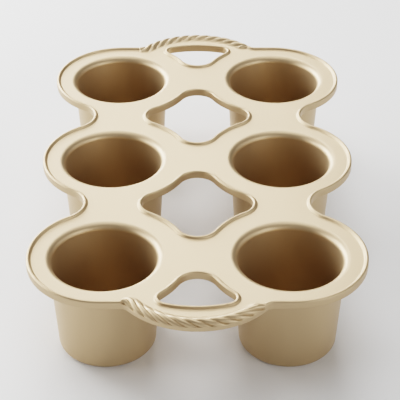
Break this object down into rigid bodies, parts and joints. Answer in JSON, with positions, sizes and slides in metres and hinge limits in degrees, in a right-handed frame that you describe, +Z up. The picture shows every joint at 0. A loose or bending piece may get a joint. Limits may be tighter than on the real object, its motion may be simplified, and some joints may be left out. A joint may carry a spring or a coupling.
{
  "type": "popover pan",
  "caption": "Cast popover pan: tapered round cups in two rows under a flat rimmed deck with diamond openings between them and a bowed rope-twist handle at each end.",
  "frame": {"origin": "middle of the pan in plan, at the height of the six cup bases", "axes": "+X to the right across the two rows of cups, +Y along the rows towards the rear handle, +Z up"},
  "size_m": [0.233, 0.3976, 0.0758],
  "materials": {
    "deck_coat": "satin champagne non-stick coat",
    "cup_coat": "satin champagne non-stick coat, darker in the deep cups",
    "rope_coat": "satin champagne non-stick coat over a cast rope relief"
  },
  "bodies": {
    "root": {"deck": "deck_coat", "cup_front_left": "cup_coat", "cup_front_right": "cup_coat", "cup_middle_left": "cup_coat", "cup_middle_right": "cup_coat", "cup_rear_left": "cup_coat", "cup_rear_right": "cup_coat", "left_lip": "deck_coat", "right_lip": "deck_coat", "front_diamond_lip": "deck_coat", "rear_diamond_lip": "deck_coat", "front_grip_lip": "deck_coat", "rear_grip_lip": "deck_coat", "front_handle": "deck_coat", "rear_handle": "deck_coat", "front_rope": "rope_coat", "rear_rope": "rope_coat"}
  },
  "joints": []
}
